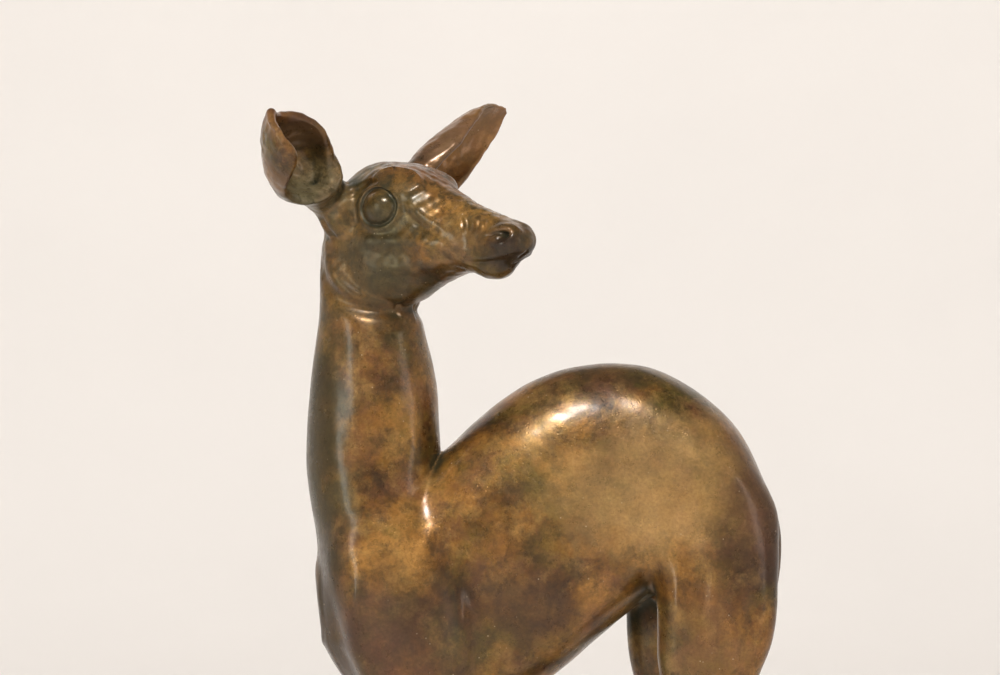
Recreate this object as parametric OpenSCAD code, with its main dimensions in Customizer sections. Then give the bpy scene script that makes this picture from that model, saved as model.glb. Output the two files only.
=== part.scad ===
// Bronze statuette of a standing doe that looks back over its shoulder.
// Hollow castings are pinned together with spigots and tenons, and the hooves
// are bolted to a recessed bronze terrace with a felt sheet under it.
// +X runs from chest to rump, -Y is the doe's left side, +Z is up.
// The origin is the centre of the felt's underside.

/* [Terrace] */
// Length of the terrace along the body
base_length = 250; // [240:1:300]
// Width of the terrace
base_width = 92; // [84:1:120]
// Height of the terrace casting
base_height = 14; // [12:0.5:24]
// Thickness of the terrace walls and top
base_wall = 5; // [4:0.5:6]
// Radius of the terrace's vertical corners
corner_radius = 5; // [3:0.5:10]
// Thickness of the felt sheet
felt_thickness = 1.5; // [1:0.1:3]
// Distance between the two tapped bosses for a plinth
plinth_spacing = 180; // [160:1:200]
// Core radius of the tapped bosses
plinth_hole_r = 2.5; // [2:0.1:3]

/* [Casting] */
// Wall thickness of the hollow castings
wall = 4.5; // [4:0.1:5]
// Length of the spigots between hollow castings
spigot_length = 9; // [6:0.5:12]
// Radius of the cross pins that lock each joint
pin_r = 1.5; // [1:0.1:2]
// Points round one ring of a casting
ring_points = 32; // [24:4:36]

/* [Fasteners] */
// Radius of the hoof studs
stud_r = 2; // [1.5:0.1:2.5]
// Length of a stud inside its hoof
stud_grip = 12; // [8:1:14]
// Length of a stud below the terrace top's underside
stud_tail = 6; // [5:0.5:7]

/* [Head pose] */
// Angle from the body's axis to the muzzle, towards the left side
head_yaw = 40; // [30:1:50]

/* [Hidden] */

bronze = "#6f5534";
dark_bronze = "#4a3a26";
brass = "#b08d4a";
felt_green = "#24402c";

ground = felt_thickness + base_height;  // height of the terrace's top
neck_joint_z = 276.5;
head_joint_z = 349;
hind_joint_z = 151;
fore_joint_z = 131;
tenon_r_hind = 6.5;
tenon_r_fore = 4.6;
tenon_length = 13;
ear_joint = 13;
ear_tenon_r = 2.4;
ear_tenon_length = 8;
ear_tenon_offset = -6.4;
tail_tenon_r = 2.2;
tail_tenon_length = 9;
hole_clearance = 0.25;
overrun = 1;
stud_chamfer = 0.5;
collar_thickness = 3;
collar_clearance = 0.2;
collar_lap = 4;                         // how far a collar's root runs back inside the neck
pin_cover = 1.5;                        // bronze left over a pin's outer end
pin_reach = 2.5;                        // how far a leg's pin passes beyond its tenon
small_pin_r = 0.8;
small_pin_reach = 1.6;
tail_pin_x = 101.5;

// Torso sections across X: [x, top, bottom, half width, height of the widest point]
torso_sections = [
    [-118, 218, 180, 9, 200], [-113, 236, 170, 18, 200], [-104, 250, 159, 26, 200], [-92, 260, 151, 32, 200],
    [-78, 266, 148, 35, 202], [-63, 273, 147, 37, 206], [-46, 289, 148, 38, 212], [-28, 304, 152, 38, 219],
    [-13, 313, 159, 37.5, 227], [0, 318, 168, 36.5, 235], [15, 321, 181, 35, 245], [31, 321.5, 195, 34, 253],
    [45, 319.5, 205, 34.5, 258], [58, 314, 210, 35.5, 258], [70, 306.5, 210, 35.5, 256], [80, 298.5, 212, 34, 254],
    [90, 287.5, 216, 31.5, 250], [98, 274.5, 221, 27, 245], [104, 258, 227, 20, 241], [107, 245, 234, 10, 238]
];
torso_squareness = 2.25;

// Neck sections across Z: [z, front x, back x, half width]
neck_sections = [
    [188, -112, -72, 22], [204, -118, -65, 30], [218, -119.3, -62, 33], [232, -121, -60, 34],
    [246, -123.6, -58.5, 34], [261, -126, -58.5, 33], [276.5, -127, -59.5, 31.5],
    [291, -126.3, -60.3, 30], [306, -125, -61, 28.5], [321, -123.7, -63.3, 27],
    [336, -121.5, -67.5, 25], [349, -120, -69.8, 23], [364, -120.3, -73, 21],
    [378, -119.8, -77, 19.5], [388, -117.5, -80, 17.5], [396, -113, -84, 14], [402, -107, -90, 8]
];

// Upper hind leg over the flank, then the shoulder: [z, centre x, half length, side, half width]
haunch_sections = [
    [282, 68, 10, 16, 9], [270, 71, 22, 18, 13.5], [254, 75, 30, 19.5, 16],
    [234, 76.5, 30.8, 21, 16.5], [216, 76.3, 30.4, 22, 16.5], [200, 76, 30, 23, 16],
    [184, 75, 28.5, 24, 15], [171, 73, 25.2, 24.4, 13.8], [160, 72.2, 21.8, 24.4, 12.4],
    [hind_joint_z, 72.6, 18.6, 24.4, 11.4]
];
shoulder_sections = [
    [254, -84, 10, 18, 9], [242, -85, 21, 21, 13], [224, -83, 27.5, 23, 14.8],
    [202, -79, 29.5, 24, 15], [184, -75, 29, 24.4, 14.6], [170, -72.5, 26, 24.3, 13.6],
    [157, -71, 20.5, 24, 12.4], [145, -70.5, 15.6, 23.6, 10.8], [fore_joint_z, -70.5, 12.4, 23, 9.2]
];

// Lower legs from the joint down to the sole: [z, centre x, half length, side, half width]
hind_leg_sections = [
    [hind_joint_z, 72.6, 18.6, 24.4, 11.4], [142, 74.4, 15.8, 24.2, 9.8], [132, 77.8, 12.6, 24, 8.4],
    [123, 80.8, 10.8, 24, 7.6], [115, 82.4, 9.2, 24, 7.2], [106, 82.9, 7, 24, 6.2],
    [92, 82.4, 5.4, 24, 5.1], [72, 81.2, 4.8, 24, 4.7], [52, 80.2, 4.6, 24, 4.5],
    [36, 79.6, 4.9, 24, 4.8], [27, 78.8, 6.2, 24, 5.8], [20, 77.2, 6.4, 24, 5.6],
    [14, 75, 5.8, 24, 5.3], [9, 73, 6.7, 24, 5.7], [4.5, 71.3, 8.2, 24, 6.4], [0, 69.5, 9.8, 24, 6.9]
];
foreleg_sections = [
    [fore_joint_z, -70.5, 12.4, 23, 9.2], [120, -70.8, 10, 23, 8], [110, -71.2, 8.5, 23, 7.1],
    [102, -71.4, 7.7, 23, 6.8], [95, -71.8, 7.7, 23, 7], [87, -71.8, 6.9, 23, 6.5],
    [78, -71.6, 5.5, 23, 5.4], [62, -71.4, 4.7, 23, 4.8], [42, -71.4, 4.6, 23, 4.7],
    [31, -71.7, 5, 23, 5], [23.5, -72.4, 6.2, 23, 5.8], [17, -74, 6.1, 23, 5.5],
    [12, -76, 5.5, 23, 5.2], [7, -77.8, 7, 23, 5.9], [3.5, -79, 8.6, 23, 6.5], [0, -80, 9.7, 23, 6.9]
];
right_hind_step = -12;
right_fore_step = -10;

// Head sections along the muzzle: [distance before the eyes, top, bottom, half width, widest height]
head_sections = [
    [-36, 6, -20, 8, -8], [-32, 14, -32, 15, -9], [-24, 20.5, -43, 20.5, -8],
    [-13, 23, -49.5, 23.5, -6], [-2, 22.5, -50, 24.8, -4], [8, 20, -46, 23.5, -6],
    [18, 15, -41, 20, -10], [28, 8.5, -36.5, 16.5, -14], [40, 2, -33, 13.4, -17],
    [52, -2.8, -35, 12, -19], [62, -6, -36, 11.6, -20.5], [70, -9.5, -32.5, 10.6, -20.5],
    [76, -14, -28, 7.6, -21], [79, -18, -24, 3.5, -21]
];
head_squareness = 2.3;
eye_level = [-75.5, -14, 399];
// Eyes, brows, cheeks, nose pad and chin: [forward, side, up], then half length, width and height.
// Each one is on both sides of the head.
head_masses = [
    [0, 17.5, -1, 10.5, 8.5, 9], [5, 13.5, 10, 14, 8, 8], [-10, 13.5, -29, 20, 10, 18],
    [70, 3.5, -18, 8, 7.5, 7.5], [64, 2, -31, 9, 6.5, 4.5]
];

// Ear sections from base to tip: [distance, half width, depth of the cup, thickness, bend back]
ear_sections = [
    [-10, 8, 0, 10, 0], [-2, 9.5, 1, 10.5, 0], [6, 11, 3.5, 9.5, 0], [ear_joint, 12.2, 5.5, 7.8, 0],
    [21, 14.2, 7.5, 5.2, 0], [33, 16.8, 8.5, 3.6, 0], [45, 17.2, 8, 3.2, 0], [57, 14.6, 6, 3, 0.3],
    [67, 10, 3.5, 2.7, 0.5], [75, 5.4, 1.5, 2.4, 0.5], [79.5, 2, 0.4, 1.6, 0.5]
];
ear_root = [-26, 20, 3];
ear_lean = 57;
ear_sweep = 76;
ear_opening = 66;

// Tail sections across Z: [z, centre x, half thickness, 0, half width]
tail_sections = [
    [262, 97, 3, 0, 4], [252, 102.2, 4, 0, 5.6], [244, 105.2, 4, 0, 6.6],
    [236, 106.8, 3.7, 0, 7], [223, 107.3, 3.2, 0, 7], [210, 106.3, 2.6, 0, 5.6],
    [199, 104.6, 1.9, 0, 3.6], [193, 103.4, 1.1, 0, 1.6]
];
tail_root = [102, 0, 250];

// Places of the core plugs: [x, y] on the belly
core_plug_places = [[-30, 0], [-6, 0]];
core_plug_r = 3;

stud_feet = [
    [-78, -23], [-78 + right_fore_step, 23],
    [72, -24], [72 + right_hind_step, 24]
];
washer_r = 4.5;
washer_thickness = 0.8;
nut_r = 4.04;
nut_thickness = 3.2;
boss_r = 6;

// ---- curves and rings ----

function between(a, b, c, d, t) =
    0.5 * (2 * b + (c - a) * t + (2 * a - 5 * b + 4 * c - d) * t * t
        + (3 * b - a - 3 * c + d) * t * t * t);

// The sections with (steps - 1) more between each pair, on a smooth curve.
function refined(s, steps) = [
    for (i = [0 : len(s) - 2], k = [0 : steps - 1])
        between(s[max(i - 1, 0)], s[i], s[i + 1], s[min(i + 2, len(s) - 1)], k / steps),
    s[len(s) - 1]
];

function power(v, e) = sign(v) * pow(abs(v), e);

// An egg-shaped ring that stands across X.
function upright_ring(s, squareness, points, inset = 0) = [
    for (i = [0 : points - 1])
        let (
            a = 360 * i / points,
            up = power(sin(a), 2 / squareness),
            reach = sin(a) > 0 ? s[1] - s[4] - inset : s[4] - s[2] - inset
        )
        [s[0], (s[3] - inset) * power(cos(a), 2 / squareness), s[4] + reach * up]
];

// An oval ring that lies across Z, from [z, low x, high x, half width].
function neck_ring(s, points, inset = 0) = [
    for (i = [0 : points - 1])
        let (a = 360 * i / points)
        [
            (s[1] + s[2]) / 2 + ((s[2] - s[1]) / 2 - inset) * cos(a),
            (s[3] - inset) * sin(a),
            s[0]
        ]
];

// An oval ring that lies across Z, from [z, centre x, half length, side, half width].
function limb_ring(s, points) = [
    for (i = [0 : points - 1])
        let (a = 360 * i / points)
        [s[1] + s[2] * cos(a), s[3] + s[4] * sin(a), s[0]]
];

// A crescent ring: the back of the ear one way, then the cup back again.
function ear_ring(s, points) =
    let (half = points / 2)
    [
        for (i = [0 : half - 1])
            let (t = 1 - 2 * i / (half - 1))
            [-s[2] * (1 - t * t) - s[3] * (0.25 + 0.45 * sqrt(1 - t * t)) + s[4], s[1] * t, s[0]],
        for (i = [0 : half - 1])
            let (t = -1 + 2 * i / (half - 1))
            [-s[2] * (1 - t * t) + s[3] * 0.25 + s[4], s[1] * t, s[0]]
    ];

// A closed solid through rings that all have the same number of points.
module loft(rings) {
    n = len(rings[0]);
    m = len(rings);
    polyhedron(
        points = [for (r = rings, p = r) p],
        faces = [
            [for (i = [0 : n - 1]) i],
            [for (i = [n - 1 : -1 : 0]) (m - 1) * n + i],
            for (j = [0 : m - 2], i = [0 : n - 1])
                [j * n + i, (j + 1) * n + (i + 1) % n, j * n + (i + 1) % n],
            for (j = [0 : m - 2], i = [0 : n - 1])
                [j * n + i, (j + 1) * n + i, (j + 1) * n + (i + 1) % n]
        ]
    );
}

// Resolves a freeform casting as one mesh, at its own size.
module cast() { resize([0, 0, 0]) union() { children(); } }

module mirrored_side(side) { scale([1, side, 1]) children(); }

module ellipsoid(half) { scale(half) sphere(r = 1, $fn = 20); }

// ---- freeform volumes, measured from the terrace's top ----

module torso_volume(inset = 0) {
    rings = [
        for (s = refined(torso_sections, inset > 0 ? 1 : 2))
            if (s[3] > inset + 4 && s[0] > -116 + inset && s[0] < 106 - inset || inset == 0)
                upright_ring(s, torso_squareness, inset > 0 ? 20 : ring_points, inset)
    ];
    loft(rings);
}

module neck_volume(low, high, inset = 0) {
    rings = [
        for (s = refined(neck_sections, 2))
            if (s[0] > low && s[0] < high) s
    ];
    at_low = lookup_section(neck_sections, low);
    at_high = lookup_section(neck_sections, high);
    loft([
        for (s = concat([at_low], rings, [at_high]))
            neck_ring(s, inset > 0 ? 24 : ring_points, inset)
    ]);
}

function lookup_section(table, z) = [
    for (k = [0 : len(table[0]) - 1])
        lookup(z, [for (s = table) [s[0], s[k]]])
];

module limb_volume(sections, side, step) {
    points = 20;
    low_first = [for (i = [len(sections) - 1 : -1 : 0]) sections[i]];
    translate([step, 0, 0]) mirrored_side(side)
        loft([for (s = refined(low_first, 2)) limb_ring(s, points)]);
}

module in_head() { translate(eye_level) rotate([0, 0, -head_yaw]) children(); }

module head_volume(inset = 0) {
    in_head() loft([
        for (s = refined(head_sections, 2))
            if (inset == 0 || s[3] > inset + 5)
                upright_ring(s, head_squareness, inset > 0 ? 20 : ring_points, inset)
    ]);
}

module head_features() {
    in_head() for (m = head_masses, side = [-1, 1])
        translate([m[0], side * m[1], m[2]]) ellipsoid([m[3], m[4], m[5]]);
}

module on_ear(side) {
    in_head() translate([ear_root[0], side * ear_root[1], ear_root[2]])
        rotate([0, 0, side * ear_sweep]) rotate([0, ear_lean, 0])
            rotate([0, 0, -side * ear_opening]) children();
}

// The ear's volume on one side of its joint: the root below it, or the blade above.
module ear_volume(side, blade) {
    on_ear(side) loft([
        for (s = refined(ear_sections, 2))
            if (blade ? s[0] >= ear_joint : s[0] <= ear_joint) ear_ring(s, 24)
    ]);
}

module ear_tenon(side, extra = 0) {
    on_ear(side) translate([ear_tenon_offset, 0, ear_joint - ear_tenon_length])
        cylinder(r = ear_tenon_r, h = ear_tenon_length + extra, $fn = 32);
}

module tail_tenon(extra = 0) {
    translate(tail_root) rotate([0, -90, 0]) translate([0, 0, -extra])
        cylinder(r = tail_tenon_r, h = tail_tenon_length + extra, $fn = 32);
}

// ---- castings ----

module outer_body() {
    torso_volume();
    neck_volume(188, neck_joint_z);
    for (side = [-1, 1]) {
        limb_volume(haunch_sections, side, side > 0 ? right_hind_step : 0);
        limb_volume(shoulder_sections, side, side > 0 ? right_fore_step : 0);
    }
}

module torso() {
    color(bronze) translate([0, 0, ground]) difference() {
        cast() difference() {
            union() { outer_body(); }
            torso_volume(wall);
            neck_volume(214, neck_joint_z + overrun, wall);
        }
        for (k = [0 : 3]) {
            leg_tenon(k, overrun);
            leg_pin(k);
        }
        collar_pins(neck_joint_z - spigot_length / 2);
        tail_tenon();
        tail_pin();
        for (p = core_plug_places) core_plug_bore(p);
    }
}

module neck() {
    color(bronze) translate([0, 0, ground]) difference() {
        cast() {
            difference() {
                neck_volume(neck_joint_z, head_joint_z);
                neck_volume(neck_joint_z - overrun, head_joint_z + overrun, wall);
            }
            collar(neck_joint_z, -1);
            collar(head_joint_z, 1);
        }
        collar_pins(neck_joint_z - spigot_length / 2);
        collar_pins(head_joint_z + spigot_length / 2);
    }
}

// A collar that enters the next casting at height z, rooted inside the neck's own wall.
module collar(z, way) {
    far = z + way * spigot_length;
    root = z - way * collar_lap;
    difference() {
        union() {
            neck_volume(min(z, far), max(z, far), wall + collar_clearance);
            neck_volume(min(z, root), max(z, root), wall - 0.5);
        }
        neck_volume(
            min(root, far) - overrun, max(root, far) + overrun, wall + collar_thickness
        );
    }
}

module head_shell() {
    difference() {
        union() {
            head_volume();
            head_features();
            neck_volume(head_joint_z, 402);
            for (side = [-1, 1]) ear_volume(side, false);
        }
        head_volume(wall + 1);
        neck_volume(head_joint_z - overrun, 386, wall);
        translate([-200, -100, head_joint_z - 100]) cube([200, 200, 100]);
    }
}

module head() {
    color(bronze) translate([0, 0, ground]) difference() {
        cast() head_shell();
        collar_pins(head_joint_z + spigot_length / 2);
        for (side = [-1, 1]) {
            ear_tenon(side, overrun);
            ear_pin(side);
        }
    }
}

module ear(side) {
    color(dark_bronze) translate([0, 0, ground]) difference() {
        union() {
            cast() ear_volume(side, true);
            ear_tenon(side, 3);
        }
        ear_pin(side);
    }
}

module tail() {
    low_first = [for (i = [len(tail_sections) - 1 : -1 : 0]) tail_sections[i]];
    color(dark_bronze) translate([0, 0, ground]) difference() {
        union() {
            cast() difference() {
                loft([for (s = refined(low_first, 2)) limb_ring(s, 20)]);
                outer_body();
            }
            tail_tenon(5);
        }
        tail_pin();
    }
}

// Tenons rise from the legs into the body: 0 and 1 in front, 2 and 3 behind; even ones on the left.
function leg_side(k) = k % 2 == 0 ? -1 : 1;
function leg_top(k) = k < 2
    ? [-70.5 + (k == 1 ? right_fore_step : 0), leg_side(k) * 23, fore_joint_z]
    : [72.6 + (k == 3 ? right_hind_step : 0), leg_side(k) * 24.4, hind_joint_z];
function tenon_r(k) = k < 2 ? tenon_r_fore : tenon_r_hind;

module leg_tenon(k, extra = 0) {
    translate(leg_top(k) - [0, 0, extra])
        cylinder(r = tenon_r(k), h = tenon_length + extra, $fn = 48);
}

module leg(k) {
    sections = k < 2 ? foreleg_sections : hind_leg_sections;
    step = k == 1 ? right_fore_step : k == 3 ? right_hind_step : 0;
    foot = stud_feet[k];
    color(bronze) translate([0, 0, ground]) difference() {
        union() {
            cast() limb_volume(sections, leg_side(k), step);
            leg_tenon(k, overrun);
        }
        translate([foot[0], foot[1], -overrun])
            cylinder(r = stud_r, h = stud_grip + overrun, $fn = 32);
        leg_pin(k);
    }
}

// ---- pins, plugs and fasteners ----

// A round pin centred on a point; turn is its angle about Z, from X.
module joint_pin(centre, turn, length, radius = pin_r) {
    translate(centre) rotate([0, 0, turn]) rotate([0, 90, 0])
        cylinder(r = radius, h = length, center = true, $fn = 32);
}

module leg_pin(k) {
    joint_pin(leg_top(k) + [0, 0, tenon_length / 2], 90, 2 * (tenon_r(k) + pin_reach));
}

// Four pins through a collar and the wall round it, at the ends of the neck's two axes.
module collar_pins(z) {
    s = lookup_section(neck_sections, z);
    middle = (s[1] + s[2]) / 2;
    length = wall + collar_thickness + 1 - pin_cover;
    depth = pin_cover + length / 2;
    for (way = [-1, 1]) {
        joint_pin([middle + way * ((s[2] - s[1]) / 2 - depth), 0, z], 0, length);
        joint_pin([middle, way * (s[3] - depth), z], 90, length);
    }
}

module ear_pin(side) {
    on_ear(side) joint_pin(
        [ear_tenon_offset, 0, ear_joint - ear_tenon_length / 2], 90,
        2 * (ear_tenon_r + small_pin_reach), small_pin_r
    );
}

module tail_pin() {
    joint_pin(
        [tail_pin_x, tail_root[1], tail_root[2]], 90,
        2 * (tail_tenon_r + small_pin_reach), small_pin_r
    );
}

module leg_joint_pins() {
    color(brass) translate([0, 0, ground]) for (k = [0 : 3]) leg_pin(k);
}

module neck_joint_pins() {
    color(brass) translate([0, 0, ground]) collar_pins(neck_joint_z - spigot_length / 2);
}

module head_joint_pins() {
    color(brass) translate([0, 0, ground]) collar_pins(head_joint_z + spigot_length / 2);
}

module ear_joint_pins() {
    color(brass) translate([0, 0, ground]) for (side = [-1, 1]) ear_pin(side);
}

module tail_joint_pin() {
    color(brass) translate([0, 0, ground]) tail_pin();
}

module core_plug_bore(place) {
    translate([place[0], place[1], 138]) cylinder(r = core_plug_r, h = 38, $fn = 32);
}

module core_plugs() {
    color(dark_bronze) translate([0, 0, ground]) cast() intersection() {
        difference() {
            torso_volume();
            torso_volume(wall);
        }
        for (p = core_plug_places) core_plug_bore(p);
    }
}

module hoof_studs() {
    below = base_wall + stud_tail;
    color("silver") translate([0, 0, ground]) for (f = stud_feet)
        translate([f[0], f[1], -below]) {
            cylinder(r1 = stud_r - stud_chamfer, r2 = stud_r, h = stud_chamfer, $fn = 32);
            translate([0, 0, stud_chamfer])
                cylinder(r = stud_r, h = below + stud_grip - stud_chamfer, $fn = 32);
        }
}

module stud_washers() {
    color("silver") for (f = stud_feet)
        translate([f[0], f[1], ground - base_wall - washer_thickness]) difference() {
            cylinder(r = washer_r, h = washer_thickness, $fn = 48);
            translate([0, 0, -overrun])
                cylinder(r = stud_r + hole_clearance, h = washer_thickness + 2 * overrun, $fn = 48);
        }
}

module stud_nuts() {
    color("silver") for (f = stud_feet)
        translate([f[0], f[1], ground - base_wall - washer_thickness - nut_thickness])
            difference() {
                cylinder(r = nut_r, h = nut_thickness, $fn = 6);
                translate([0, 0, -overrun])
                    cylinder(r = stud_r, h = nut_thickness + 2 * overrun, $fn = 48);
            }
}

// ---- terrace ----

module rounded_slab(length, width, height, radius) {
    for (x = [-1, 1], y = [-1, 1])
        translate([x * (length / 2 - radius), y * (width / 2 - radius), 0])
            cylinder(r = radius, h = height, $fn = 64);
    translate([-length / 2 + radius, -width / 2, 0]) cube([length - 2 * radius, width, height]);
    translate([-length / 2, -width / 2 + radius, 0]) cube([length, width - 2 * radius, height]);
}

module terrace() {
    recess = base_height - base_wall;
    color(bronze) translate([0, 0, felt_thickness]) difference() {
        union() {
            difference() {
                rounded_slab(base_length, base_width, base_height, corner_radius);
                translate([0, 0, -overrun]) rounded_slab(
                    base_length - 2 * base_wall, base_width - 2 * base_wall,
                    recess + overrun, corner_radius - base_wall / 2
                );
            }
            for (x = [-1, 1]) translate([x * plinth_spacing / 2, 0, 0])
                cylinder(r = boss_r, h = recess + overrun, $fn = 48);
        }
        for (x = [-1, 1]) translate([x * plinth_spacing / 2, 0, -overrun])
            cylinder(r = plinth_hole_r, h = recess + overrun, $fn = 48);
        for (f = stud_feet) translate([f[0], f[1], recess - overrun])
            cylinder(r = stud_r + hole_clearance, h = base_wall + 2 * overrun, $fn = 48);
    }
}

module felt_sheet() {
    margin = 1;
    color(felt_green) difference() {
        rounded_slab(
            base_length - 2 * margin, base_width - 2 * margin,
            felt_thickness, corner_radius - margin
        );
        for (x = [-1, 1]) translate([x * plinth_spacing / 2, 0, -overrun])
            cylinder(r = plinth_hole_r + overrun, h = felt_thickness + 2 * overrun, $fn = 48);
    }
}

torso();
neck();
head();
ear(-1);  // right_ear
ear(1);  // left_ear
tail();
leg(0);  // left_foreleg
leg(1);  // right_foreleg
leg(2);  // left_hind_leg
leg(3);  // right_hind_leg
neck_joint_pins();
head_joint_pins();
leg_joint_pins();
ear_joint_pins();
tail_joint_pin();
core_plugs();
terrace();
hoof_studs();
stud_washers();
stud_nuts();
felt_sheet();
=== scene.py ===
"""Bronze statuette of a doe: sculpted castings, patina, floor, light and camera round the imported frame.

Each casting is a distance field in millimetres, below zero inside the bronze. Lofts and masses are
joined softly, shallow modelling is pressed in or raised along strokes, and the field is then meshed.
Heights are above the terrace's top, as in the part's own design.
"""
import math

import bmesh
import bpy
import numpy as np
import openvdb
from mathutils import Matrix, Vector


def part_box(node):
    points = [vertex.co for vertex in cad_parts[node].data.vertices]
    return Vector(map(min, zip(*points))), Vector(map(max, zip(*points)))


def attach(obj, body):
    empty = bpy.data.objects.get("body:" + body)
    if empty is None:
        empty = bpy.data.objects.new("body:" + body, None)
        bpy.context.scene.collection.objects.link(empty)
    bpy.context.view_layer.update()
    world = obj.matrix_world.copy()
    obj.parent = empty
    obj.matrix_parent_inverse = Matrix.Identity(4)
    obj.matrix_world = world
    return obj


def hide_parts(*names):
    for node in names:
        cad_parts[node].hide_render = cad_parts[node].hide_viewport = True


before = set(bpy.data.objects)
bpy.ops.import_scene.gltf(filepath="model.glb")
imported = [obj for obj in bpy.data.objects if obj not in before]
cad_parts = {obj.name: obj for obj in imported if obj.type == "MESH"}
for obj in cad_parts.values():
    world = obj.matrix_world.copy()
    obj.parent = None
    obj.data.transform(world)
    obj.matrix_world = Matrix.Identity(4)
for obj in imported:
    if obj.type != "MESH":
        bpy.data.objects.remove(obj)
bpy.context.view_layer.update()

MM = 0.001
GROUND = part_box("terrace")[1].z / MM
COARSE = 1.0
FAR = 25.0                      # field value where nothing is near
BAND = 4.0                      # depth of field that is handed to the mesher
SIDE_FADE = 2.0                 # a side stroke fades out over this depth towards the middle plane

NECK_JOINT = 276.5
HEAD_JOINT = 349.0
HIND_JOINT = 151.0
FORE_JOINT = 131.0
HIND_STEP = -12.0               # the right legs stand this much further forward
FORE_STEP = -10.0
EAR_JOINT = 13.0
EYE_LEVEL = (-75.5, -14.0, 399.0)
HEAD_YAW = math.radians(40)
HEAD_SIDE = 34                  # the head's strokes end this far from its middle plane


# ---- frames and fields ----

class Axes:
    """A place and three unit directions, in millimetres, from the terrace's top."""

    def __init__(self, origin, rows):
        self.origin = np.array(origin, float)
        self.rows = np.array(rows, float)

    def point(self, local):
        return self.origin + np.asarray(local, float) @ self.rows

    def direction(self, local):
        return np.asarray(local, float) @ self.rows


BODY = Axes((0, 0, 0), np.eye(3))
HEAD = Axes(EYE_LEVEL, [
    (math.cos(HEAD_YAW), -math.sin(HEAD_YAW), 0),
    (math.sin(HEAD_YAW), math.cos(HEAD_YAW), 0),
    (0, 0, 1),
])


class Field:
    """Samples of a distance field on a box that is aligned with some axes."""

    def __init__(self, axes, low, high, step):
        self.axes, self.step = axes, step
        self.ticks = [np.arange(a, b + step, step, dtype=np.float32) for a, b in zip(low, high)]
        self.d = np.full([len(t) for t in self.ticks], FAR, np.float32)

    def window(self, axes, low, high):
        """The samples that a box of other axes covers, and their coordinates along those axes."""
        turn = axes.rows @ self.axes.rows.T
        shift = axes.rows @ (self.axes.origin - axes.origin)
        corners = np.array([
            [(low, high)[i][0], (low, high)[j][1], (low, high)[k][2]]
            for i in (0, 1) for j in (0, 1) for k in (0, 1)
        ])
        own = (corners - shift) @ turn
        where = tuple(
            slice(int(np.searchsorted(t, a)), int(np.searchsorted(t, b)))
            for t, a, b in zip(self.ticks, own.min(0), own.max(0))
        )
        if any(s.start >= s.stop for s in where):
            return None, None
        open_ticks = [
            t[s].reshape([-1 if k == i else 1 for k in range(3)])
            for i, (t, s) in enumerate(zip(self.ticks, where))
        ]
        coordinates = []
        for i in range(3):
            value = np.float32(shift[i])
            for j in range(3):
                if abs(turn[i, j]) > 1e-6:
                    value = value + np.float32(turn[i, j]) * open_ticks[j]
            coordinates.append(value)
        return where, coordinates

    def add(self, axes, low, high, distance, blend=0.0):
        """Joins a shape to the field, with a soft seam of the given width."""
        where, at = self.window(axes, low, high)
        if where is not None:
            self.d[where] = soft_min(self.d[where], distance(*at), blend)

    def press(self, axes, low, high, depth):
        """Sinks the surface by depth, where depth is positive."""
        where, at = self.window(axes, low, high)
        if where is not None:
            self.d[where] += depth(*at)

    def sample(self, points):
        """Values at points that are given in this field's own axes."""
        index = (points - [t[0] for t in self.ticks]) / self.step
        base = np.clip(np.floor(index), 0, np.array(self.d.shape) - 2).astype(int)
        part = np.clip(index - base, 0, 1)
        total = 0
        for i in (0, 1):
            for j in (0, 1):
                for k in (0, 1):
                    share = np.abs(np.array([1 - i, 1 - j, 1 - k]) - part).prod(1)
                    total = total + share * self.d[base[:, 0] + i, base[:, 1] + j, base[:, 2] + k]
        return total

    def gradient(self, points):
        reach = self.step
        return np.stack([
            self.sample(points + reach * axis) - self.sample(points - reach * axis)
            for axis in np.eye(3)
        ], 1) / (2 * reach)


def soft_min(a, b, blend):
    if np.isscalar(blend) and blend <= 0:
        return np.minimum(a, b)
    h = np.maximum(blend - np.abs(a - b), 0) / blend
    return np.minimum(a, b) - h * h * h * blend / 6


def soft_max(a, b, blend):
    return -soft_min(-a, -b, blend)


def ramp(value, start, end):
    """0 before start, 1 after end, smooth between them."""
    t = np.clip((value - start) / (end - start), 0, 1)
    return t * t * (3 - 2 * t)


def fair_curve(table, softness, spacing=0.25):
    """A smooth function of a table's first column that gives its other columns."""
    table = np.array(table, float)
    if table[0, 0] > table[-1, 0]:
        table = table[::-1]
    knots, values = table[:, 0], table[:, 1:]
    slopes = np.gradient(values, knots, axis=0)
    fine = np.arange(knots[0], knots[-1] + spacing, spacing)
    span = np.clip(np.searchsorted(knots, fine, side="right") - 1, 0, len(knots) - 2)
    width = (knots[span + 1] - knots[span])[:, None]
    t = np.clip((fine - knots[span])[:, None] / width, 0, 1)
    curve = (
        (1 + 2 * t) * (1 - t) ** 2 * values[span] + t * (1 - t) ** 2 * width * slopes[span]
        + t * t * (3 - 2 * t) * values[span + 1] + t * t * (t - 1) * width * slopes[span + 1]
    )
    margin = int(3 * softness / spacing) + 1
    steps = np.arange(1, margin + 1)[:, None]
    before = curve[0] - steps[::-1] * (curve[1] - curve[0])
    after = curve[-1] + steps * (curve[-1] - curve[-2])
    longer = np.concatenate([before, curve, after])
    kernel = np.exp(-0.5 * (np.arange(-margin, margin + 1) * spacing / softness) ** 2)
    kernel /= kernel.sum()
    smooth = np.stack([np.convolve(c, kernel, "valid") for c in longer.T], 1)

    def columns(at):
        return [np.interp(at, fine, c).astype(np.float32) for c in smooth.T]

    return columns


def ellipse(offsets, halves):
    """Distance to an ellipse or an ellipsoid, from the offsets to its centre."""
    parts = [offset / half for offset, half in zip(offsets, halves)]
    size = np.sqrt(sum(p * p for p in parts))
    slope = np.sqrt(sum((p / half) ** 2 for p, half in zip(parts, halves)))
    return size * (size - 1) / np.maximum(slope, 1e-4)


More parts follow.
